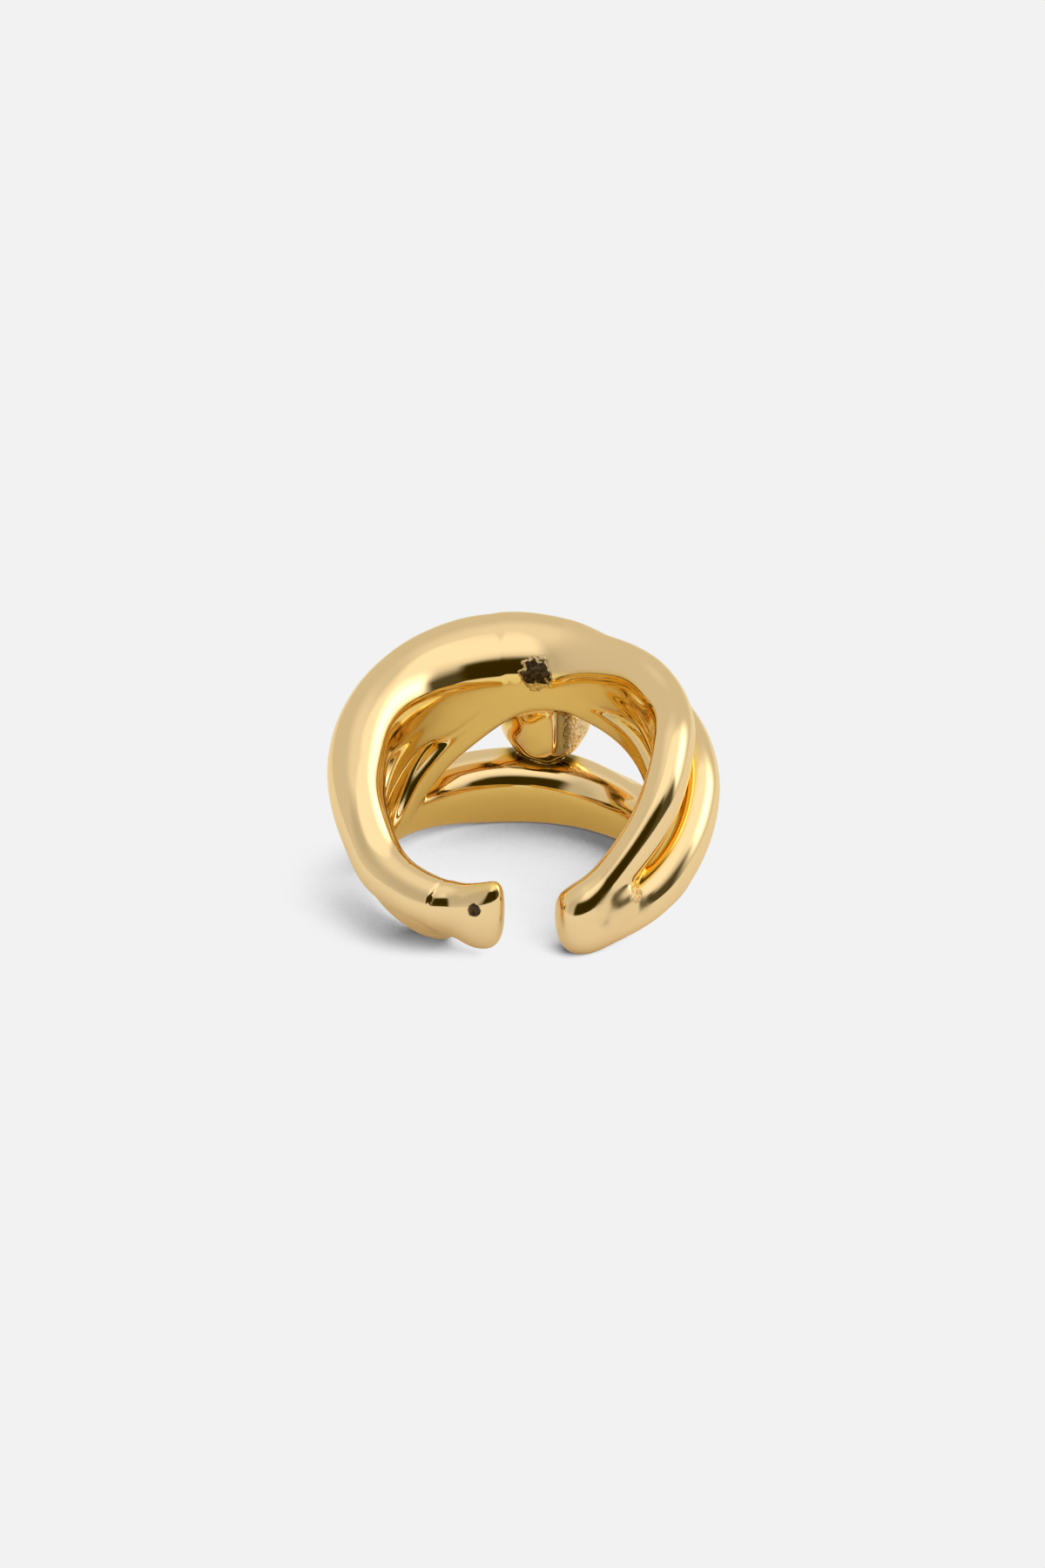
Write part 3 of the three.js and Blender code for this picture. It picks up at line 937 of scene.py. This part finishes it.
print("table_top:", 2 * PAPER, "m wide,", round(HAIR / MM, 3), "mm under the ring")

# %% [markdown]
# ## The shadow on the paper
#
# The Ambient Occlusion node tells how much of a half space is free of other things. With its
# normal turned towards the soft box it tells how much of that light reaches the paper, and a
# Map Range turns this into a tone: DARKEST in the heart of the shadow, white in the open.

# %% The shadow
open_side = tree.nodes.new("ShaderNodeCombineXYZ")
for socket, value in zip(open_side.inputs, TOWARD_SOFT_BOX):
    socket.default_value = value
openness = tree.nodes.new("ShaderNodeAmbientOcclusion")
openness.samples = SHADOW_RAYS
openness.inputs["Distance"].default_value = SHADOW_REACH
tree.links.new(open_side.outputs[0], openness.inputs["Normal"])
tone = tree.nodes.new("ShaderNodeMapRange")
tone.interpolation_type = "SMOOTHSTEP"
tone.inputs["From Min"].default_value = HEART
tone.inputs["From Max"].default_value = OUTSKIRTS
tone.inputs["To Min"].default_value = DARKEST
tree.links.new(openness.outputs["AO"], tone.inputs["Value"])
glow = tree.nodes.new("ShaderNodeEmission")
brightness = maths(tree, "MULTIPLY", tone.outputs["Result"], BACKDROP)
tree.links.new(brightness, glow.inputs["Strength"])
ray = tree.nodes.new("ShaderNodeLightPath")
either = tree.nodes.new("ShaderNodeMixShader")
tree.links.new(ray.outputs["Is Camera Ray"], either.inputs["Fac"])
tree.links.new(dull.outputs[0], either.inputs[1])
tree.links.new(glow.outputs[0], either.inputs[2])
tree.links.new(either.outputs[0], tree.nodes["Material Output"].inputs["Surface"])
print("paper:", len(tree.nodes), "nodes")

# %% [markdown]
# ## The light tent
#
# Polished gold shows little of itself and much of what stands round it. Jewellery is lit in a
# white tent, with a large soft box to one side and a dark gap in front for the lens, and the
# dark streaks on the metal are that gap. Separate area lights would work, but each has to be
# seen in the metal as well as light it. Here the tent is one world shader: panels in a list,
# each a range of `turn` (degrees from the front, + to the right) and `rise` (degrees above the
# table), painted one over the other. The cloth is a warm white, so the darker it is, the
# more its light leans to yellow: WARMTH takes the same bit off each channel everywhere.


# %% Soft-edged panels
def between(tree, value, low, high, soft):
    """1 between low and high, and 0 outside them: one step up less the next."""
    return maths(
        tree, "SUBTRACT", step_up(tree, value, low, soft), step_up(tree, value, high, soft)
    )


def paint_panel(tree, light, turn, rise, panel):
    """The light so far, with one panel's level painted over it."""
    over = maths(
        tree, "MULTIPLY",
        between(tree, turn, *panel["turn"], panel["soft"]),
        between(tree, rise, *panel["rise"], panel["soft"]),
    )
    change = maths(tree, "SUBTRACT", panel["level"], light)
    return maths(tree, "MULTIPLY_ADD", over, change, light)


# %% Hang the tent
TENT_POWER = 0.8  # brings every level below to the strength of the lamps
WALL = 0.86  # the cloth, where no panel is
DIM = 0.042  # the gap for the lens
WARMTH = {"Red": 0.0, "Green": -0.013, "Blue": -0.06}
PANELS = {
    "ceiling": dict(turn=(-400, 400), rise=(64, 200), soft=14, level=1.11),
    "left_wing": dict(turn=(-62, -16), rise=(6, 48), soft=11, level=0.70),
    "soft_box": dict(turn=(-24, 125), rise=(44, 86), soft=12, level=1.38),
    "soft_box_core": dict(turn=(76, 122), rise=(15, 40), soft=14, level=3.1),
    "gap_side": dict(turn=(30, 80), rise=(-9, 32), soft=9, level=0.10),
    "lens_gap": dict(turn=(-27, 43), rise=(-40, 39), soft=5, level=DIM),
}
print("tent:", ", ".join(PANELS))

# %% Paint the tent
world = bpy.data.worlds.new("light_tent")
world.use_nodes = True
bpy.context.scene.world = world
tree = world.node_tree
tree.nodes.clear()
way = tree.nodes.new("ShaderNodeTexCoord")
axes = tree.nodes.new("ShaderNodeSeparateXYZ")
tree.links.new(way.outputs["Generated"], axes.inputs[0])
front = maths(tree, "MULTIPLY", axes.outputs["Y"], -1.0)
turn = maths(tree, "DEGREES", maths(tree, "ARCTAN2", axes.outputs["X"], front))
rise = maths(tree, "DEGREES", maths(tree, "ARCSINE", axes.outputs["Z"]))
light = WALL
for panel in PANELS.values():
    light = paint_panel(tree, light, turn, rise, panel)
tent = tree.nodes.new("ShaderNodeBackground")
cloth = tree.nodes.new("ShaderNodeCombineColor")
for channel, less in WARMTH.items():
    tree.links.new(maths(tree, "ADD", light, less), cloth.inputs[channel])
tree.links.new(cloth.outputs["Color"], tent.inputs["Color"])
tent.inputs["Strength"].default_value = TENT_POWER
print("light_tent:", len(tree.nodes), "nodes")

# %% [markdown]
# The camera itself looks past the tent at a plain backdrop, a little darker than pure white,
# which is what the lit paper comes to as well.

# %% Backdrop
backdrop = tree.nodes.new("ShaderNodeBackground")
backdrop.inputs["Strength"].default_value = BACKDROP
ray = tree.nodes.new("ShaderNodeLightPath")
either = tree.nodes.new("ShaderNodeMixShader")
outlet = tree.nodes.new("ShaderNodeOutputWorld")
tree.links.new(ray.outputs["Is Camera Ray"], either.inputs["Fac"])
tree.links.new(tent.outputs[0], either.inputs[1])
tree.links.new(backdrop.outputs[0], either.inputs[2])
tree.links.new(either.outputs[0], outlet.inputs["Surface"])
bpy.context.scene.view_settings.view_transform = "Standard"
print("backdrop:", BACKDROP)

# %% [markdown]
# ## The camera
#
# Small jewellery is shot from half a metre away with a long lens, so that near and far strands
# keep their sizes. The camera looks down at VIEW_RISE and aims a little past the middle of
# the finger hole, which leaves more paper below the ring than above it.

# %% Camera
VIEW_RISE = 24.8  # degrees above the table
VIEW_FAR = 0.5  # from the lens to the ring, in metres
FRAME_TALL = 0.10651  # what the picture takes in from top to bottom, in metres
AIM_RIGHT, AIM_UP = 0.00018, 0.00219  # from the middle of the ring, in metres
SENSOR = 36  # height of the camera's sensor, in millimetres
view = math.radians(VIEW_RISE)
toward = Vector((0, -math.cos(view), math.sin(view)))
picture_up = Vector((0, math.sin(view), math.cos(view)))
aim = ring_middle + AIM_RIGHT * Vector((1, 0, 0)) + AIM_UP * picture_up
lens = bpy.data.cameras.new("camera")
lens.sensor_fit = "VERTICAL"
lens.sensor_height = SENSOR
lens.lens = SENSOR * VIEW_FAR / FRAME_TALL
lens.clip_start = 0.01
camera = bpy.data.objects.new("camera", lens)
camera.location = aim + toward * VIEW_FAR
camera.rotation_euler = (-toward).to_track_quat("-Z", "Y").to_euler()
bpy.context.scene.collection.objects.link(camera)
bpy.context.scene.camera = camera
print("lens:", round(lens.lens, 1), "mm")
